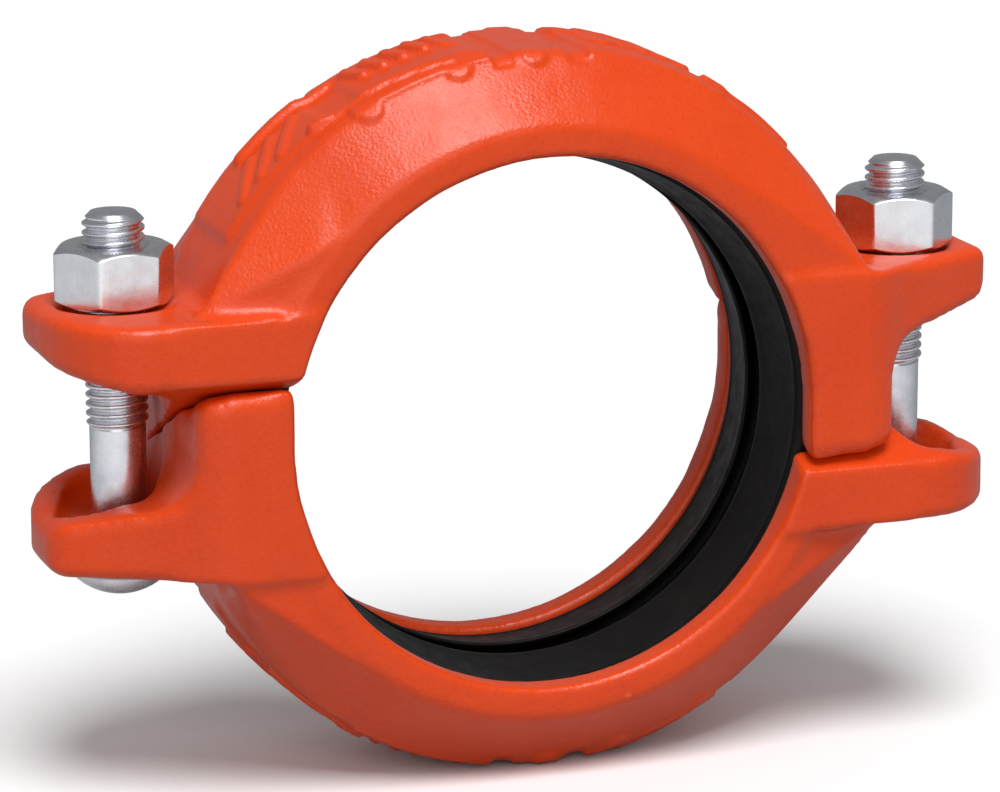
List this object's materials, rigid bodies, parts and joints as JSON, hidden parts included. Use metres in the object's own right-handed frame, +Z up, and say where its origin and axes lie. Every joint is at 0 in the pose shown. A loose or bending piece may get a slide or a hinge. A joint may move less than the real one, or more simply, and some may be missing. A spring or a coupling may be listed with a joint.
{
  "type": "pipe coupling",
  "caption": "Rigid clamp coupling for grooved pipe: cast housing halves with slanted mating faces round a rubber seal, drawn together by track-head bolts and hex nuts",
  "frame": {"origin": "centre of the bore, where the pipe's axis meets the plane of the two bolts", "axes": "+Y along the pipe's axis, away from the viewer; +X from the left bolt to the right bolt; +Z up along the bolts, out of the nuts"},
  "size_m": [0.2052, 0.056, 0.1508],
  "materials": {
    "upper_housing": "orange enamel over ductile iron, slightly textured",
    "lower_housing": "orange enamel over ductile iron, slightly textured",
    "gasket": "black moulded rubber, satin",
    "bolts": "bright zinc plating",
    "nuts": "bright zinc plating"
  },
  "bodies": {
    "lower_assembly": {"lower_housing": "lower_housing", "gasket": "gasket", "bolt_left": "bolts", "bolt_right": "bolts"},
    "upper_housing_body": {"upper_housing": "upper_housing"},
    "nut_left_body": {"nut_left": "nuts"},
    "nut_right_body": {"nut_right": "nuts"}
  },
  "joints": [
    {"name": "housing_lift", "type": "slide", "parent": "lower_assembly", "child": "upper_housing_body", "axis": [0, 0, 1], "range_m": [0, 0.00662]},
    {"name": "nut_left_turn", "type": "hinge", "parent": "upper_housing_body", "child": "nut_left_body", "pos_m": [-0.0851, 0, 0.0325], "axis": [0, 0, 1], "range_deg": [0, 1220]},
    {"name": "nut_right_turn", "type": "hinge", "parent": "upper_housing_body", "child": "nut_right_body", "pos_m": [0.0851, 0, 0.0325], "axis": [0, 0, 1], "range_deg": [0, 1220]}
  ],
  "couplings": [
    {"joint": "nut_left_turn", "follows": "housing_lift", "rad_per_m": 3215.9},
    {"joint": "nut_right_turn", "follows": "housing_lift", "rad_per_m": 3215.9}
  ]
}
